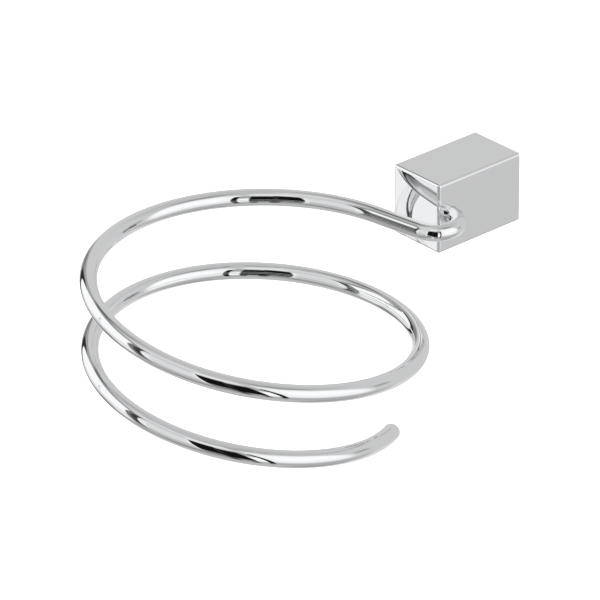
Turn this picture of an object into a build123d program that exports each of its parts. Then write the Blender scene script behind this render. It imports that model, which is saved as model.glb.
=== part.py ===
from build123d import *
import os
from math import atan2, cos, pi, radians, sin, tan

# Hair dryer holder: a chromed block on the wall, with a round wire that leaves its side,
# hooks round in front of it and winds down as an open, tapering coil that the dryer hangs in.
# All sizes are in millimetres.
# The wall is the plane Y = 0 and the room is towards -Y. X is to the right as seen from
# the room and Z is up. The origin is the centre of the block's back face.

# Block
BLOCK_WIDTH = 23.0
BLOCK_DEPTH = 38.0
BLOCK_HEIGHT = 26.0
EDGE_RADIUS = 1.0
BACK_EDGE_BREAK = 0.3

# Rear cavity of the block, open to the wall
SIDE_WALL = 2.5
CEILING = 2.5
FLOOR = 3.0
CAVITY_DEPTH = 24.0
CAVITY_CORNER_RADIUS = 0.6

# Wire
WIRE_DIAMETER = 6.0
WIRE_SET_BACK = 6.0        # wire axis behind the block's front face, where it enters
WIRE_IN_BLOCK = 16.0       # length held in the bore
WIRE_BORE_CLEARANCE = 0.02  # radial
WIRE_BORE_BREAK = 0.15
WIRE_END_RADIUS = 2.0      # rounding of the free end
WIRE_FLAT_DEPTH = 0.5
WIRE_FLAT_LENGTH = 6.0

# Wire's course in plan: hook round the block's front corner, straight, then the coil
HOOK_RADIUS = 7.9
STRAIGHT_LENGTH = 19.2
COIL_RADIUS = 58.5         # centreline, where the coil begins
COIL_TAPER = 3.5           # radius lost in each turn
COIL_DRIFT = 5.0           # sideways move of the coil's centre in each turn
DRIFT_TOWARDS = radians(99.5)
COIL_FROM = radians(8.3)   # angle about the coil's centre, measured from the wall side
COIL_TO = radians(660.7)
HOOK_CORNERS = 6
COIL_CORNERS = 55

# Wire's fall: the coil drops steadily and leans, and eases into both from the level hook
COIL_PITCH = 28.1
COIL_START_RISE = 4.1
LEAN_HEIGHT = 6.4
LEAN_TOWARDS = radians(142.6)
FALL_FROM = radians(-61.5)
FALL_BLEND = radians(280.0)
ARC_SHARE = 0.49           # of the shorter of its two runs that each arc takes up

# Wall bracket, a small block that the cavity slides over
BRACKET_GAP = 0.15
BRACKET_THICKNESS = 8.0
BRACKET_LEAD_IN = 0.6
WALL_SCREW_SPACING = 10.0
WALL_SCREW_HOLE_RADIUS = 2.2
COUNTERSINK_RADIUS = 4.1
COUNTERSINK_ANGLE = 90

# M4 set screws: one clamps the block on the bracket, the other clamps the wire
THREAD_RADIUS = 2.0
THREAD_DEPTH = 0.43
THREAD_PITCH = 0.7
THREAD_HOLE_RADIUS = 2.05
SET_SCREW_TIP_RADIUS = 1.3
SOCKET_ACROSS_FLATS = 2.0
TIP_GAP = 0.02
GRUB_LENGTH = 3.0
GRUB_FROM_WALL = 4.5
LOCK_SCREW_LENGTH = 5.0
LOCK_SCREW_X = 2.0

CAVITY_WIDTH = BLOCK_WIDTH - 2 * SIDE_WALL
CAVITY_TOP = BLOCK_HEIGHT / 2 - CEILING
CAVITY_BOTTOM = FLOOR - BLOCK_HEIGHT / 2
WIRE_RADIUS = WIRE_DIAMETER / 2
WIRE_Y = WIRE_SET_BACK - BLOCK_DEPTH


def y_block(width, y_front, y_back, z_low, z_high):
    """A plain block, centred in X."""
    size = (width, y_back - y_front, z_high - z_low)
    return Pos(0, (y_front + y_back) / 2, (z_low + z_high) / 2) * Box(*size)


def cylinder_along(axis_plane, radius, length):
    """A cylinder that starts at the plane's origin and runs along its normal."""
    return axis_plane * Cylinder(radius, length, align=(Align.CENTER, Align.CENTER, Align.MIN))


def cover_block():
    """The visible block: solid at the front for the wire's bore, hollow at the back."""
    block = y_block(BLOCK_WIDTH, -BLOCK_DEPTH, 0, -BLOCK_HEIGHT / 2, BLOCK_HEIGHT / 2)
    back_edges = block.faces().sort_by(Axis.Y)[-1].edges()
    shown_edges = [e for e in block.edges() if e not in back_edges]
    block = fillet(shown_edges, EDGE_RADIUS)
    block = chamfer(block.faces().sort_by(Axis.Y)[-1].edges(), BACK_EDGE_BREAK)

    cavity = y_block(CAVITY_WIDTH, -CAVITY_DEPTH, 1, CAVITY_BOTTOM, CAVITY_TOP)
    cavity = fillet(cavity.edges().filter_by(Axis.Y), CAVITY_CORNER_RADIUS)
    block -= cavity

    side = Plane((BLOCK_WIDTH / 2, WIRE_Y, 0), z_dir=(-1, 0, 0))
    bore_radius = WIRE_RADIUS + WIRE_BORE_CLEARANCE
    block -= cylinder_along(side, bore_radius, WIRE_IN_BLOCK + 0.5)
    mouth = Cone(bore_radius + WIRE_BORE_BREAK, bore_radius, WIRE_BORE_BREAK,
                 align=(Align.CENTER, Align.CENTER, Align.MIN))
    block -= side * mouth

    under = Plane((0, -GRUB_FROM_WALL, -BLOCK_HEIGHT / 2 - 1), z_dir=(0, 0, 1))
    block -= cylinder_along(under, THREAD_HOLE_RADIUS, FLOOR + 2)
    cavity_end = Plane((LOCK_SCREW_X, -CAVITY_DEPTH + 1, 0), z_dir=(0, -1, 0))
    block -= cylinder_along(cavity_end, THREAD_HOLE_RADIUS, 1 - CAVITY_DEPTH - WIRE_Y)
    return block


def hook_centre():
    """Centre of the hook's bend, in plan."""
    return Vector(BLOCK_WIDTH / 2, WIRE_Y - HOOK_RADIUS)


def around(angle):
    """Unit vector in plan from the coil's centre outwards, at an angle from the wall side."""
    return Vector(-sin(angle), cos(angle))


def coil_offset(angle, reach=1.0):
    """A point of the coil in plan, from where its centre begins; reach scales the radius."""
    turns = (angle - COIL_FROM) / (2 * pi)
    radius = COIL_RADIUS - COIL_TAPER * turns
    return around(DRIFT_TOWARDS) * (COIL_DRIFT * turns) + around(angle) * (radius * reach)


def straight_heading():
    """The angle of the straight run in plan, in line with the start of the coil."""
    drift = around(DRIFT_TOWARDS) * COIL_DRIFT
    taper = around(COIL_FROM) * COIL_TAPER
    start = around(COIL_FROM + pi / 2) * COIL_RADIUS + (drift - taper) / (2 * pi)
    return atan2(-start.Y, -start.X)


def coil_centre():
    """Where the coil's centre begins, in plan: the hook and the straight run lead to it."""
    heading = straight_heading()
    hook_end = hook_centre() + around(heading - pi) * HOOK_RADIUS
    coil_start = hook_end + around(heading + pi / 2) * STRAIGHT_LENGTH
    return coil_start - around(COIL_FROM) * COIL_RADIUS


def wire_height(angle):
    """Height of the wire at an angle about the coil; before the coil, at the angle run back."""
    turns = angle / (2 * pi)
    lean = LEAN_HEIGHT * cos(angle - LEAN_TOWARDS)
    progress = min(max((angle - FALL_FROM) / FALL_BLEND, 0), 1)
    blend = progress * progress * (3 - 2 * progress)
    return blend * (lean + COIL_START_RISE - COIL_PITCH * turns)


def wire_corners():
    """Corners of the runs that the wire's arcs touch, from its held end to its free end."""
    held_end = Vector(BLOCK_WIDTH / 2 - WIRE_IN_BLOCK, WIRE_Y, 0)
    corners = [held_end]

    bend = pi - straight_heading()
    step = bend / HOOK_CORNERS
    for i in range(HOOK_CORNERS):
        turned = (i + 0.5) * step
        length_left = (bend - turned) * HOOK_RADIUS + STRAIGHT_LENGTH
        out = around(-turned) * (HOOK_RADIUS / cos(step / 2))
        height = wire_height(COIL_FROM - length_left / COIL_RADIUS)
        corners.append(hook_centre() + out + Vector(0, 0, height))

    step = (COIL_TO - COIL_FROM) / (COIL_CORNERS + 0.5)
    for i in range(COIL_CORNERS):
        angle = COIL_FROM + (i + 0.5) * step
        out = coil_offset(angle, 1 / cos(step / 2))
        corners.append(coil_centre() + out + Vector(0, 0, wire_height(angle)))

    free_end = coil_centre() + coil_offset(COIL_TO) + Vector(0, 0, wire_height(COIL_TO))
    corners.append(free_end)
    return corners


def arc_radii(corners):
    """The largest radius at each corner that leaves each arc its share of the shorter run."""
    radii = []
    for before, corner, after in zip(corners, corners[1:], corners[2:]):
        run_in = corner - before
        run_out = after - corner
        half_turn = radians(run_in.get_angle(run_out)) / 2
        radii.append(ARC_SHARE * min(run_in.length, run_out.length) / tan(half_turn))
    return radii


def spiral_wire():
    """The bent wire, with a flat for its clamping screw and a rounded free end."""
    corners = wire_corners()
    path = FilletPolyline(*corners, radius=arc_radii(corners))
    section = Plane(corners[0], z_dir=(1, 0, 0)) * Circle(WIRE_RADIUS)
    wire = sweep(section, path=path)
    expected = pi * WIRE_RADIUS ** 2 * path.length
    print("wire length", round(path.length, 1), "volume ratio", round(wire.volume / expected, 5))
    print("arc radii", [round(r, 1) for r in arc_radii(corners)])

    ends = wire.faces().filter_by(GeomType.PLANE)
    free_face = ends.sort_by_distance(corners[-1])[0]
    wire = fillet(free_face.edges(), WIRE_END_RADIUS)
    flat_y = WIRE_Y + WIRE_RADIUS - WIRE_FLAT_DEPTH
    flat = Pos(LOCK_SCREW_X, flat_y, 0) * Box(
        WIRE_FLAT_LENGTH, 2, WIRE_DIAMETER, align=(Align.CENTER, Align.MIN, Align.CENTER))
    return wire - flat


def wall_bracket():
    """The block on the wall, with two countersunk holes one above the other."""
    width = CAVITY_WIDTH - 2 * BRACKET_GAP
    low = CAVITY_BOTTOM + BRACKET_GAP
    high = CAVITY_TOP - BRACKET_GAP
    bracket = y_block(width, -BRACKET_THICKNESS, 0, low, high)
    bracket = fillet(bracket.edges().filter_by(Axis.Y), 2 * CAVITY_CORNER_RADIUS)
    bracket = chamfer(bracket.faces().sort_by(Axis.Y)[0].edges(), BRACKET_LEAD_IN)
    for z in (-WALL_SCREW_SPACING / 2, WALL_SCREW_SPACING / 2):
        front = Plane((0, -BRACKET_THICKNESS, z), x_dir=(1, 0, 0), z_dir=(0, -1, 0))
        bracket -= front * CounterSinkHole(
            WALL_SCREW_HOLE_RADIUS, COUNTERSINK_RADIUS, BRACKET_THICKNESS, COUNTERSINK_ANGLE)
    return bracket


def set_screw(length):
    """A socket set screw along Z, its flat tip at the origin and its socket at the top."""
    root = THREAD_RADIUS - THREAD_DEPTH
    outline = [(0, 0), (SET_SCREW_TIP_RADIUS, 0)]
    z = THREAD_RADIUS - SET_SCREW_TIP_RADIUS
    outline.append((THREAD_RADIUS, z))
    while z + THREAD_PITCH < length - THREAD_DEPTH:
        outline.append((root, z + THREAD_PITCH / 2))
        outline.append((THREAD_RADIUS, z + THREAD_PITCH * 0.9))
        outline.append((THREAD_RADIUS, z + THREAD_PITCH))
        z += THREAD_PITCH
    outline.append((THREAD_RADIUS, length - THREAD_DEPTH))
    outline.append((root, length))
    outline.append((0, length))
    profile = Plane.XZ * make_face(Polyline(*outline, close=True))
    screw = revolve(profile, Axis.Z)
    socket_depth = length / 2
    socket = Pos(0, 0, length - socket_depth) * extrude(
        RegularPolygon(SOCKET_ACROSS_FLATS / 2, 6, major_radius=False), socket_depth + 1)
    return screw - socket


def grub_screw():
    """The screw under the block, tightened up against the bracket."""
    tip_z = CAVITY_BOTTOM + BRACKET_GAP - TIP_GAP
    return Plane((0, -GRUB_FROM_WALL, tip_z), z_dir=(0, 0, -1)) * set_screw(GRUB_LENGTH)


def wire_lock_screw():
    """The screw in the cavity's end, tightened on the wire's flat."""
    tip_y = WIRE_Y + WIRE_RADIUS - WIRE_FLAT_DEPTH + TIP_GAP
    return Plane((LOCK_SCREW_X, tip_y, 0), z_dir=(0, 1, 0)) * set_screw(LOCK_SCREW_LENGTH)


def main():
    parts = {
        "cover_block": cover_block(),
        "spiral_wire": spiral_wire(),
        "wall_bracket": wall_bracket(),
        "grub_screw": grub_screw(),
        "wire_lock_screw": wire_lock_screw(),
    }
    os.makedirs("parts", exist_ok=True)
    for name, solid in parts.items():
        box = solid.bounding_box()
        print(name, "solids", len(solid.solids()), "volume", round(solid.volume, 1),
              "from", box.min, "to", box.max)
        export_step(solid, f"parts/{name}.step")


main()
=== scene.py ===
from math import atan2, ceil, cos, pi, radians, sin

import bpy
from mathutils import Matrix, Vector


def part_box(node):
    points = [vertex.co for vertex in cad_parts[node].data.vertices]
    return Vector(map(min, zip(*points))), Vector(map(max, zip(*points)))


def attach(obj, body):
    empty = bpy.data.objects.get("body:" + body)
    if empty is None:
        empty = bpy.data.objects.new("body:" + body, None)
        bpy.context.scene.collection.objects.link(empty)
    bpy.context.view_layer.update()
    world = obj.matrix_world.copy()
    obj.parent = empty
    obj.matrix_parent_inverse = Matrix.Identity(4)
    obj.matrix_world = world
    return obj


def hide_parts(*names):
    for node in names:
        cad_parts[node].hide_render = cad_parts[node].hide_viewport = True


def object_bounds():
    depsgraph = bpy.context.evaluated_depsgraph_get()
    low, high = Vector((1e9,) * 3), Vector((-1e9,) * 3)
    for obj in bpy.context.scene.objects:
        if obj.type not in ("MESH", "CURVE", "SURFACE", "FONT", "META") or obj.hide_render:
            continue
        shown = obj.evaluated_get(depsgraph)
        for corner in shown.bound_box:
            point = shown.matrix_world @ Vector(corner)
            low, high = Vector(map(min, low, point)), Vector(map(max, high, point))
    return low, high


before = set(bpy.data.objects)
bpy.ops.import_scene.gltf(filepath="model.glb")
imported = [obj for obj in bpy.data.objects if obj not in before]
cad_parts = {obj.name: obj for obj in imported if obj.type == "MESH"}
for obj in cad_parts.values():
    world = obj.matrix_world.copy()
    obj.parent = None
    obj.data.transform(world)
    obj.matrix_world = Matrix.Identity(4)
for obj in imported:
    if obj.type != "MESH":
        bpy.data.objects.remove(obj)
cad_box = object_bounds()

MM = 0.001

# ---------------------------------------------------------------- the wire's course
# The same course as the CAD wire: held end, hook, straight run and coil, in millimetres.

WIRE_RADIUS = 3.0
WIRE_SET_BACK = 6.0
WIRE_IN_BLOCK = 16.0
WIRE_FLAT_DEPTH = 0.5
WIRE_FLAT_LENGTH = 6.0
LOCK_SCREW_X = 2.0
WIRE_END_RADIUS = 2.0
HOOK_RADIUS = 7.9
STRAIGHT_LENGTH = 19.2
COIL_RADIUS = 58.5
COIL_TAPER = 3.5
COIL_DRIFT = 5.0
DRIFT_TOWARDS = radians(99.5)
COIL_FROM = radians(8.3)
COIL_TO = radians(660.7)
COIL_PITCH = 28.1
COIL_START_RISE = 4.1
LEAN_HEIGHT = 6.4
LEAN_TOWARDS = radians(142.6)
FALL_FROM = radians(-61.5)
FALL_BLEND = radians(280.0)


def around(angle):
    """Unit vector in plan from the coil's centre outwards, at an angle from the wall side."""
    return Vector((-sin(angle), cos(angle), 0))


def coil_radius(angle):
    return COIL_RADIUS - COIL_TAPER * (angle - COIL_FROM) / (2 * pi)


def coil_offset(angle):
    """A point of the coil in plan, from where its centre begins."""
    turns = (angle - COIL_FROM) / (2 * pi)
    return around(DRIFT_TOWARDS) * (COIL_DRIFT * turns) + around(angle) * coil_radius(angle)


def straight_heading():
    """The angle of the straight run in plan, in line with the start of the coil."""
    drift = around(DRIFT_TOWARDS) * COIL_DRIFT
    taper = around(COIL_FROM) * COIL_TAPER
    start = around(COIL_FROM + pi / 2) * COIL_RADIUS + (drift - taper) / (2 * pi)
    return atan2(-start.y, -start.x)


BLOCK_LOW, BLOCK_HIGH = (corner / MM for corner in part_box("cover_block"))
ENTRY = Vector((BLOCK_HIGH.x, BLOCK_LOW.y + WIRE_SET_BACK, 0))
HEADING = straight_heading()
HOOK_LENGTH = HOOK_RADIUS * (pi - HEADING)
COIL_LENGTH = COIL_RADIUS * (COIL_TO - COIL_FROM)
WIRE_LENGTH = HOOK_LENGTH + STRAIGHT_LENGTH + COIL_LENGTH
HOOK_CENTRE = ENTRY - Vector((0, HOOK_RADIUS, 0))
HOOK_END = HOOK_CENTRE + HOOK_RADIUS * around(HEADING - pi)
COIL_START = HOOK_END + STRAIGHT_LENGTH * around(HEADING + pi / 2)
COIL_CENTRE = COIL_START - coil_offset(COIL_FROM)


def wire_height(angle):
    turns = angle / (2 * pi)
    lean = LEAN_HEIGHT * cos(angle - LEAN_TOWARDS)
    progress = min(max((angle - FALL_FROM) / FALL_BLEND, 0), 1)
    blend = progress * progress * (3 - 2 * progress)
    return blend * (lean + COIL_START_RISE - COIL_PITCH * turns)


def wire_point(s):
    """The wire's axis at length s past the block, as if the coil kept its first radius."""
    angle = COIL_FROM + (s - HOOK_LENGTH - STRAIGHT_LENGTH) / COIL_RADIUS
    height = Vector((0, 0, wire_height(angle)))
    if s <= 0:
        return ENTRY + Vector((s, 0, 0))
    if s < HOOK_LENGTH:
        return HOOK_CENTRE + HOOK_RADIUS * around(-s / HOOK_RADIUS) + height
    if s < HOOK_LENGTH + STRAIGHT_LENGTH:
        return HOOK_END + (s - HOOK_LENGTH) * around(HEADING + pi / 2) + height
    return COIL_CENTRE + coil_offset(angle) + height


def wire_tangent(s):
    step = 0.05
    return (wire_point(s + step) - wire_point(s - step)).normalized()


# ---------------------------------------------------------------- mesh helpers


def mesh_object(name, vertices, faces):
    mesh = bpy.data.meshes.new(name)
    mesh.from_pydata([tuple(v) for v in vertices], [], faces)
    mesh.validate()
    for polygon in mesh.polygons:
        polygon.use_smooth = True
    made = bpy.data.objects.new(name, mesh)
    bpy.context.scene.collection.objects.link(made)
    return made


def tube(name, rings, first_point, last_point):
    """A closed skin over rings of points, with a point at each end."""
    sides = len(rings[0])
    vertices = [first_point] + [v for ring in rings for v in ring] + [last_point]
    last = 1 + (len(rings) - 1) * sides
    faces = []
    for k in range(sides):
        following = (k + 1) % sides
        faces.append((0, 1 + k, 1 + following))
        for here in range(1, last, sides):
            there = here + sides
            faces.append((here + k, there + k, there + following, here + following))
        faces.append((len(vertices) - 1, last + following, last + k))
    return mesh_object(name, vertices, faces)


# ---------------------------------------------------------------- the wire

WIRE_SIDES = 56
RING_SPACING = 0.6
HELD_END_BREAK = 0.3
WIRE_END_STEPS = 10


def wire_ring(s, radius, along=0.0):
    """Points round the wire's axis, moved on by a length along it."""
    tangent = wire_tangent(s)
    side = tangent.cross(Vector((0, 0, 1))).normalized()
    rise = side.cross(tangent)
    centre = wire_point(s) + tangent * along
    flat_y = ENTRY.y + WIRE_RADIUS - WIRE_FLAT_DEPTH
    ring = []
    for k in range(WIRE_SIDES):
        turn = 2 * pi * k / WIRE_SIDES
        point = centre + radius * (side * cos(turn) + rise * sin(turn))
        if s < 0 and abs(point.x - LOCK_SCREW_X) < WIRE_FLAT_LENGTH / 2:
            point.y = min(point.y, flat_y)
        ring.append(point * MM)
    return ring


def make_wire():
    """The bent wire as one fine skin, with its rounded free end."""
    rings = [wire_ring(-WIRE_IN_BLOCK, WIRE_RADIUS - HELD_END_BREAK)]
    skin_length = WIRE_LENGTH + WIRE_IN_BLOCK - HELD_END_BREAK - WIRE_END_RADIUS
    count = ceil(skin_length / RING_SPACING)
    end_length = WIRE_END_RADIUS * COIL_RADIUS / coil_radius(COIL_TO)
    first, last = HELD_END_BREAK - WIRE_IN_BLOCK, WIRE_LENGTH - end_length
    for i in range(count + 1):
        s = first + (last - first) * i / count
        rings.append(wire_ring(s, WIRE_RADIUS))
    for i in range(1, WIRE_END_STEPS + 1):
        turn = pi / 2 * i / WIRE_END_STEPS
        radius = WIRE_RADIUS - WIRE_END_RADIUS + WIRE_END_RADIUS * cos(turn)
        rings.append(wire_ring(last, radius, WIRE_END_RADIUS * sin(turn)))
    start = wire_point(-WIRE_IN_BLOCK) * MM
    end = (wire_point(last) + wire_tangent(last) * WIRE_END_RADIUS) * MM
    return tube("bent_wire", rings, start, end)


# ---------------------------------------------------------------- materials

CHROME_COLOUR = (0.86, 0.865, 0.875, 1.0)


class Nodes:
    """A short way to add nodes to a tree and join them."""

    def __init__(self, tree):
        self.tree = tree

    def add(self, kind, inputs=None, **settings):
        made = self.tree.nodes.new(kind)
        for key, value in settings.items():
            setattr(made, key, value)
        for key, value in (inputs or {}).items():
            if isinstance(value, bpy.types.NodeSocket):
                self.tree.links.new(value, made.inputs[key])
            else:
                made.inputs[key].default_value = value
        return made

    def math(self, operation, *values):
        made = self.add("ShaderNodeMath", dict(enumerate(values)), operation=operation)
        return made.outputs[0]

    def noise(self, where, scale, detail=2.0, roughness=0.5):
        inputs = {"Vector": where, "Scale": scale, "Detail": detail, "Roughness": roughness}
        return self.add("ShaderNodeTexNoise", inputs).outputs["Fac"]

    def spread(self, value, low, high, from_low=0.3, from_high=0.7):
        """A value mapped from one range to another."""
        inputs = {"Value": value, "From Min": from_low, "From Max": from_high,
                  "To Min": low, "To Max": high}
        return self.add("ShaderNodeMapRange", inputs).outputs["Result"]


def new_material(name):
    material = bpy.data.materials.new(name)
    material.use_nodes = True
    nodes = Nodes(material.node_tree)
    shader = material.node_tree.nodes["Principled BSDF"]
    where = nodes.add("ShaderNodeTexCoord").outputs["Object"]
    return material, nodes, shader, where


def chrome(name, scratch_stretch):
    """Polished chrome plate: a mirror with faint polishing waves, hairlines and haze."""
    material, nodes, shader, where = new_material(name)
    shader.inputs["Metallic"].default_value = 1.0
    shader.inputs["Base Color"].default_value = CHROME_COLOUR
    stretched = nodes.add("ShaderNodeMapping", {"Vector": where, "Scale": scratch_stretch})
    hairlines = nodes.noise(stretched.outputs[0], 900.0, 3.0, 0.6)
    haze = nodes.noise(where, 60.0, 4.0, 0.6)
    fine = nodes.spread(hairlines, 0.0, 0.02, 0.62, 0.8)
    broad = nodes.spread(haze, 0.015, 0.035)
    rough = nodes.math("ADD", fine, broad)
    nodes.tree.links.new(rough, shader.inputs["Roughness"])
    waves = nodes.noise(where, 130.0, 1.0, 0.4)
    bump = nodes.add("ShaderNodeBump", {"Height": waves, "Strength": 0.02, "Distance": 0.0004})
    nodes.tree.links.new(bump.outputs[0], shader.inputs["Normal"])
    return material


def zinc(name):
    """Bright zinc plate on machined steel: a soft sheen with mill lines and pale bloom."""
    material, nodes, shader, where = new_material(name)
    shader.inputs["Metallic"].default_value = 1.0
    bloom = nodes.noise(where, 320.0, 4.0, 0.6)
    ramp = nodes.add("ShaderNodeValToRGB", {"Fac": bloom})
    ramp.color_ramp.elements[0].position = 0.3
    ramp.color_ramp.elements[0].color = (0.50, 0.53, 0.58, 1)
    ramp.color_ramp.elements[1].position = 0.7
    ramp.color_ramp.elements[1].color = (0.68, 0.70, 0.72, 1)
    nodes.tree.links.new(ramp.outputs[0], shader.inputs["Base Color"])
    stretched = nodes.add("ShaderNodeMapping", {"Vector": where, "Scale": (1.0, 1.0, 14.0)})
    lines = nodes.noise(stretched.outputs[0], 420.0, 3.0, 0.6)
    rough = nodes.spread(lines, 0.26, 0.42)
    nodes.tree.links.new(rough, shader.inputs["Roughness"])
    bump = nodes.add("ShaderNodeBump", {"Height": lines, "Strength": 0.25, "Distance": 0.0001})
    nodes.tree.links.new(bump.outputs[0], shader.inputs["Normal"])
    return material


def screw_steel(name):
    """Plain stainless screws: a fine grain, lighter and darker at random in tone, roughness and
    bumps.
    """
    material, nodes, shader, where = new_material(name)
    shader.inputs["Metallic"].default_value = 1.0
    grain = nodes.noise(where, 900.0, 3.0, 0.6)
    ramp = nodes.add("ShaderNodeValToRGB", {"Fac": grain})
    ramp.color_ramp.elements[0].position = 0.3
    ramp.color_ramp.elements[0].color = (0.36, 0.36, 0.37, 1)
    ramp.color_ramp.elements[1].position = 0.7
    ramp.color_ramp.elements[1].color = (0.56, 0.56, 0.57, 1)
    nodes.tree.links.new(ramp.outputs[0], shader.inputs["Base Color"])
    rough = nodes.spread(grain, 0.22, 0.36)
    nodes.tree.links.new(rough, shader.inputs["Roughness"])
    bump = nodes.add("ShaderNodeBump", {"Height": grain, "Strength": 0.15, "Distance": 0.00005})
    nodes.tree.links.new(bump.outputs[0], shader.inputs["Normal"])
    return material


def paint(piece, material):
    if not piece.material_slots:
        piece.data.materials.append(material)
    for used in piece.material_slots:
        used.material = material


# ---------------------------------------------------------------- the studio
# A light tent round the object: grey above and below, a large white panel on each side, a
# paler one between them, dark gaps where they meet and the dark opening that the camera
# looks through. Azimuth 0 is towards -Y and 90 towards +X, and elevation is above the
# horizon, all in degrees. An upright panel is flat, so its top and foot draw together
# towards its ends as a flat panel's do.

TENT_GREY = 0.57
BEHIND = [
    # name, azimuth from and to, elevation from and to, softness across and up, brightness
    ("floor_behind", -205, -100, -66, -30, 16, 12, 0.76),
    ("floor_behind_glow", -152, -112, -42, -12, 20, 12, 0.92),
    ("floor_right", 60, 158, -64, -36, 10, 10, 0.48),
    ("floor_front", -95, 60, -56, -27, 10, 8, 0.44),
    ("floor_front_shade", -20, 18, -50, -34, 10, 8, 0.31),
    ("floor_left", -98, -64, -44, -26, 12, 8, 0.26),
    ("floor_far_right", 100, 170, -84, -60, 20, 10, 0.38),
    ("ceiling_front", -56, 20, 52, 86, 16, 8, 0.76),
    ("ceiling_middle", -22, 24, 42, 60, 4, 6, 0.67),
    ("ceiling_over_camera", 20, 64, 46, 70, 6, 8, 0.89),
    ("ceiling_right_glow", 70, 116, 42, 60, 8, 8, 0.88),
    ("ceiling_right", 100, 152, 56, 78, 16, 10, 0.36),
    ("back_wall", -245, -114, -28, 46, 12, 14, 0.66),
    ("back_wall_edge", -121, -112, -26, -2, 5, 8, 0.92),
    ("side_patch", 137, 150, 2, 16, 5, 8, 0.4),
    ("left_gap", -116, -94, -12, 50, 4, 8, 0.4),
    ("left_gap_core", -112, -97, -2, 18, 4, 10, 0.24),
    ("left_gap_line", -102, -94, -32, 30, 2.5, 6, 0.03),
    ("left_gap_over", -122, -84, 50, 66, 6, 8, 0.38),
    ("left_gap_top", -118, -92, 44, 54, 5, 4, 0.16),
    ("top_gap", -92, -34, 45, 54, 4, 4, 0.33),
    ("gap", -34, -17, -26, 45, 3, 5, 0.21),
    ("gap_shade", -26, -17, -16, 44, 3, 6, 0.06),
]
UPRIGHT = [
    ("left_panel_foot", -94.5, -31, -26, 20, 2, 16, 0.8),
    ("left_panel", -94.5, -31, -10, 45, 2, 6, 1.09),
    ("panel_joint", -60.5, -58.5, -6, 22, 1.5, 4, 0.74),
    ("middle_panel_foot", -19.5, 21.5, -30, 20, 2, 16, 0.58),
    ("middle_panel", -19.5, 21.5, -6, 43, 2, 10, 0.8),
    ("middle_panel_left", -19.5, -13, -8, 26, 2, 10, 0.96),
    ("middle_panel_right", 18.5, 24, -18, 36, 2, 10, 0.98),
    ("right_panel", 61, 131, -26, 51, 10, 22, 1.03),
    ("right_panel_core", 78, 126, 0, 42, 6, 18, 1.12),
    ("grey_strip", 56, 67, 10, 48, 2, 8, 0.44),
    ("white_strip", 56, 67, -30, 14, 2, 8, 1.1),
    ("post", 66, 70.5, -46, 40, 1.5, 5, 0.01),
    ("opening_foot", 21.5, 58, -36, 20, 2, 12, 0.22),
    ("opening_streak", 36, 43.5, -50, -10, 3, 12, 0.08),
    ("opening_streak_right", 52.5, 58, -52, -10, 2, 10, 0.14),
    ("opening", 21.5, 42, -16, 43, 2, 10, 0.007),
    ("opening_right", 40, 58, -28, 37, 2, 10, 0.007),
    ("opening_glint", 39, 42, 0, 28, 2, 12, 0.035),
    ("front_glow", -58, -37, -35, -20, 4, 4, 0.99),
]


def band(nodes, value, low, high, soft):
    """1 between low and high and 0 outside, with soft edges."""
    ends = []
    for edge, sign in ((low, 1), (high, -1)):
        inputs = {"Value": value, "From Min": edge - sign * soft / 2,
                  "From Max": edge + sign * soft / 2, "To Min": 0.0, "To Max": 1.0}
        step = nodes.add("ShaderNodeMapRange", inputs, interpolation_type="SMOOTHSTEP")
        ends.append(step.outputs["Result"])
    return nodes.math("MULTIPLY", *ends)


def tent_world():
    world = bpy.data.worlds.new("studio")
    bpy.context.scene.world = world
    world.use_nodes = True
    nodes = Nodes(world.node_tree)
    world.node_tree.nodes.clear()
    direction = nodes.add("ShaderNodeTexCoord").outputs["Generated"]
    parts = nodes.add("ShaderNodeSeparateXYZ", {"Vector": direction}).outputs
    towards_room = nodes.math("MULTIPLY", parts["Y"], -1.0)
    azimuth = nodes.math("DEGREES", nodes.math("ARCTAN2", parts["X"], towards_room))
    wrapped = nodes.math("SUBTRACT", azimuth, 360.0)
    elevation = nodes.math("DEGREES", nodes.math("ARCSINE", parts["Z"]))
    slope = nodes.math("TANGENT", nodes.math("ARCSINE", parts["Z"]))
    light = TENT_GREY
    for panel in BEHIND + UPRIGHT:
        name, az_from, az_to, el_from, el_to, soft_across, soft_up, brightness = panel
        across = band(nodes, azimuth, az_from, az_to, soft_across)
        if az_from < -180:
            beyond = band(nodes, wrapped, az_from, az_to, soft_across)
            across = nodes.math("MAXIMUM", across, beyond)
        height = elevation
        if panel in UPRIGHT:
            turn = nodes.math("SUBTRACT", azimuth, (az_from + az_to) / 2)
            nearness = nodes.math("COSINE", nodes.math("RADIANS", turn))
            height = nodes.math("DEGREES", nodes.math("ARCTAN2", slope, nearness))
        share = nodes.math("MULTIPLY", across, band(nodes, height, el_from, el_to, soft_up))
        mix = nodes.add("ShaderNodeMix", {"Factor": share, "A": light, "B": brightness},
                        label=name)
        light = mix.outputs["Result"]
    seen = nodes.add("ShaderNodeLightPath").outputs["Is Camera Ray"]
    shown = nodes.add("ShaderNodeMix", {"Factor": seen, "A": light, "B": 1.0}).outputs["Result"]
    background = nodes.add("ShaderNodeBackground", {"Color": shown, "Strength": 1.0})
    nodes.add("ShaderNodeOutputWorld", {"Surface": background.outputs[0]})


FLOOR_DROP = 0.12


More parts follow.
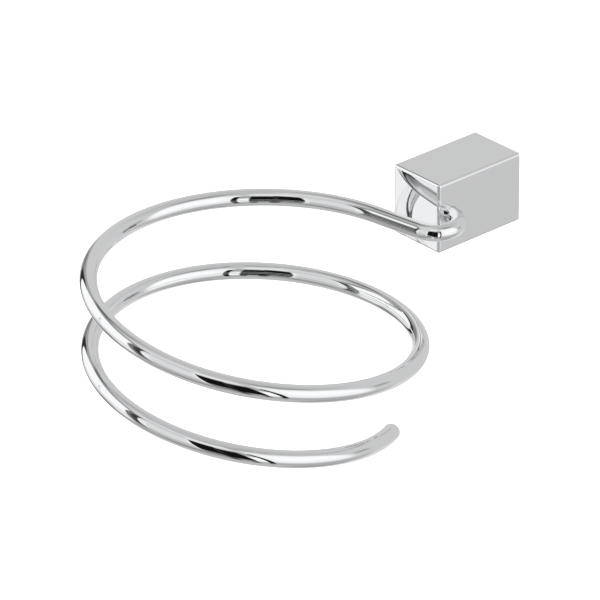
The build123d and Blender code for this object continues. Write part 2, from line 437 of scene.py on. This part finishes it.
def make_floor():
    """A plain pale floor below the object, out of its reflections."""
    half = 6.0
    z = cad_box[0].z - FLOOR_DROP
    vertices = [(-half, -half, z), (half, -half, z), (half, half, z), (-half, half, z)]
    floor = mesh_object("floor", vertices, [(0, 1, 2, 3)])
    material = bpy.data.materials.new("pale_floor")
    material.use_nodes = True
    shader = material.node_tree.nodes["Principled BSDF"]
    shader.inputs["Base Color"].default_value = (0.92, 0.92, 0.92, 1)
    shader.inputs["Roughness"].default_value = 0.9
    shader.inputs["Specular IOR Level"].default_value = 0.1
    floor.data.materials.append(material)
    floor.visible_glossy = False


def make_lights():
    """A broad soft light from above for the floor; the tent lights the metal."""
    light = bpy.data.lights.new("soft_overhead", "SUN")
    light.energy = 3.2
    light.angle = radians(120)
    lamp = bpy.data.objects.new("soft_overhead", light)
    lamp.visible_glossy = False
    bpy.context.scene.collection.objects.link(lamp)


# ---------------------------------------------------------------- the camera


def make_camera():
    azimuth, elevation, roll = radians(48.795), radians(27.794), radians(-0.546)
    distance = 1.7223
    target = Vector((-0.01254, -0.080, -0.02498))
    back = Vector((sin(azimuth) * cos(elevation), -cos(azimuth) * cos(elevation), sin(elevation)))
    right = Vector((cos(azimuth), sin(azimuth), 0))
    up = back.cross(right)
    rolled_right = right * cos(roll) + up * sin(roll)
    rolled_up = up * cos(roll) - right * sin(roll)
    data = bpy.data.cameras.new("camera")
    data.sensor_width = 36.0
    data.lens = 303.70
    camera = bpy.data.objects.new("camera", data)
    turn = Matrix((rolled_right, rolled_up, back)).transposed().to_4x4()
    camera.matrix_world = Matrix.Translation(target + back * distance) @ turn
    bpy.context.scene.collection.objects.link(camera)
    bpy.context.scene.camera = camera


# ---------------------------------------------------------------- put together

wire = make_wire()
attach(wire, "holder")
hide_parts("spiral_wire")
paint(wire, chrome("chromed_wire", (1.0, 1.0, 1.0)))
paint(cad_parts["cover_block"], chrome("block_chrome", (1.0, 9.0, 1.0)))
paint(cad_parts["wall_bracket"], zinc("zinc_plate"))
screws = screw_steel("screw_steel")
for screw in ("grub_screw", "wire_lock_screw"):
    paint(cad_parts[screw], screws)

tent_world()
make_floor()
make_lights()
make_camera()
bpy.context.scene.view_settings.view_transform = "Standard"
